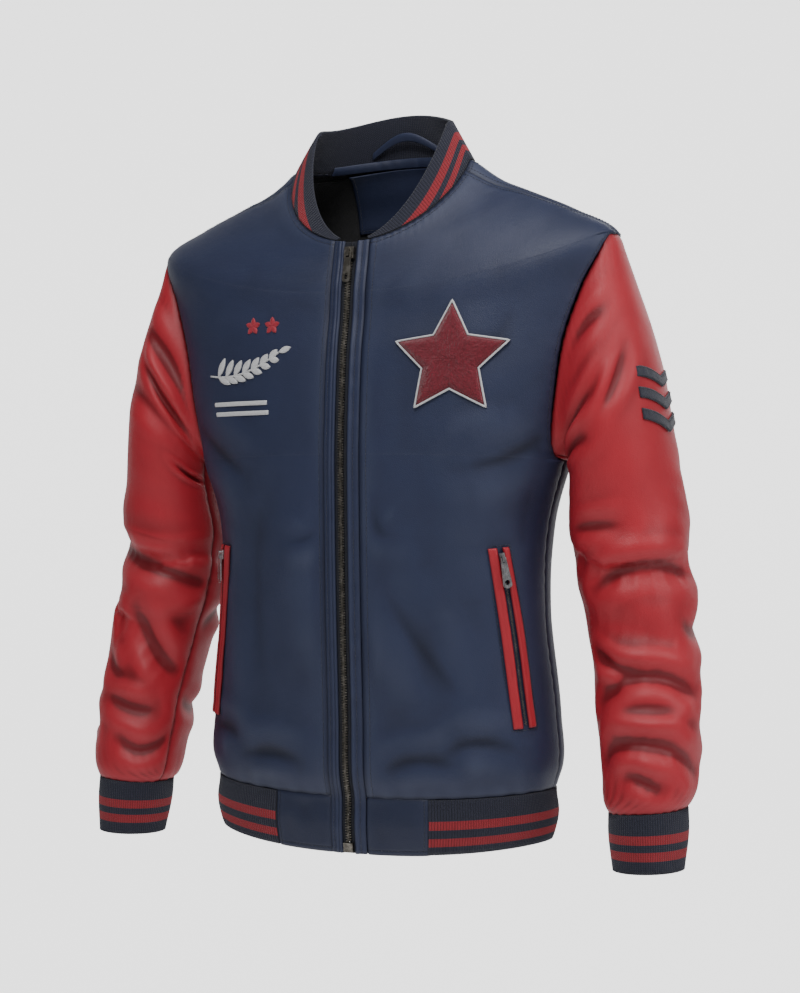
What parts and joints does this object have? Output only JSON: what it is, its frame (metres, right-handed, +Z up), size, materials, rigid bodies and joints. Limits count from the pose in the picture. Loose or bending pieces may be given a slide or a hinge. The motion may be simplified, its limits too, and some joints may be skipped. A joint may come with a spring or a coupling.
{
  "type": "jacket",
  "caption": "Zip-front varsity jacket in blue and red leather with striped rib collar, cuffs and hem, chenille star emblem and slanted zip pockets, filled out as worn.",
  "frame": {"origin": "middle of the jacket at the height where the shoulder seams meet the collar, where it hangs on its wearer", "axes": "+Z up, the front faces -Y, the wearer's left side is +X"},
  "size_m": [0.6313, 0.1999, 0.721],
  "materials": {
    "blue_leather": "semi-matt",
    "red_leather": "satin",
    "rib_knit": "matt rib knit",
    "lining": "matt",
    "zip_tape": "woven",
    "gunmetal": "dark plated",
    "silver_metal": "satin plated",
    "navy_felt": "felted wool",
    "burgundy_pile": "looped chenille pile"
  },
  "bodies": {
    "jacket": {"front_left": "blue_leather", "front_right": "blue_leather", "back": "blue_leather", "placket_left": "blue_leather", "placket_right": "blue_leather", "hem_tab_left": "blue_leather", "hem_tab_right": "blue_leather", "neck_binding": "blue_leather", "back_facing": "blue_leather", "hanger_loop": "blue_leather", "pocket_left_welt_front": "red_leather", "pocket_left_welt_back": "red_leather", "pocket_right_welt_front": "red_leather", "pocket_right_welt_back": "red_leather", "sleeve_left_top": "red_leather", "sleeve_left_under": "red_leather", "sleeve_right_top": "red_leather", "sleeve_right_under": "red_leather", "cuff_left": "rib_knit", "cuff_right": "rib_knit", "hem_rib": "rib_knit", "collar": "rib_knit", "back_lining": "lining", "zip_tape_left": "zip_tape", "zip_tape_right": "zip_tape", "zip_chain": "gunmetal", "zip_slider": "gunmetal", "zip_end_box": "gunmetal", "pocket_left_zip": "gunmetal", "pocket_right_zip": "gunmetal", "pocket_left_slider": "silver_metal", "pocket_right_slider": "silver_metal", "star_felt": "navy_felt", "sleeve_chevron_1": "navy_felt", "sleeve_chevron_2": "navy_felt", "sleeve_chevron_3": "navy_felt", "star_pile": "burgundy_pile"},
    "zip_pull": {"zip_pull": "gunmetal"},
    "pocket_left_pull": {"pocket_left_pull": "silver_metal"},
    "pocket_right_pull": {"pocket_right_pull": "silver_metal"}
  },
  "joints": [
    {"name": "zip_pull_swing", "type": "hinge", "parent": "jacket", "child": "zip_pull", "pos_m": [0, -0.09219, -0.09213], "axis": [-1, 0, 0], "range_deg": [0, 150]},
    {"name": "pocket_left_pull_swing", "type": "hinge", "parent": "jacket", "child": "pocket_left_pull", "pos_m": [0.14941, -0.07307, -0.37846], "axis": [-0.7391, -0.6462, -0.1902], "range_deg": [0, 150]},
    {"name": "pocket_right_pull_swing", "type": "hinge", "parent": "jacket", "child": "pocket_right_pull", "pos_m": [-0.14941, -0.07307, -0.37846], "axis": [-0.7391, 0.6462, 0.1902], "range_deg": [0, 150]}
  ]
}
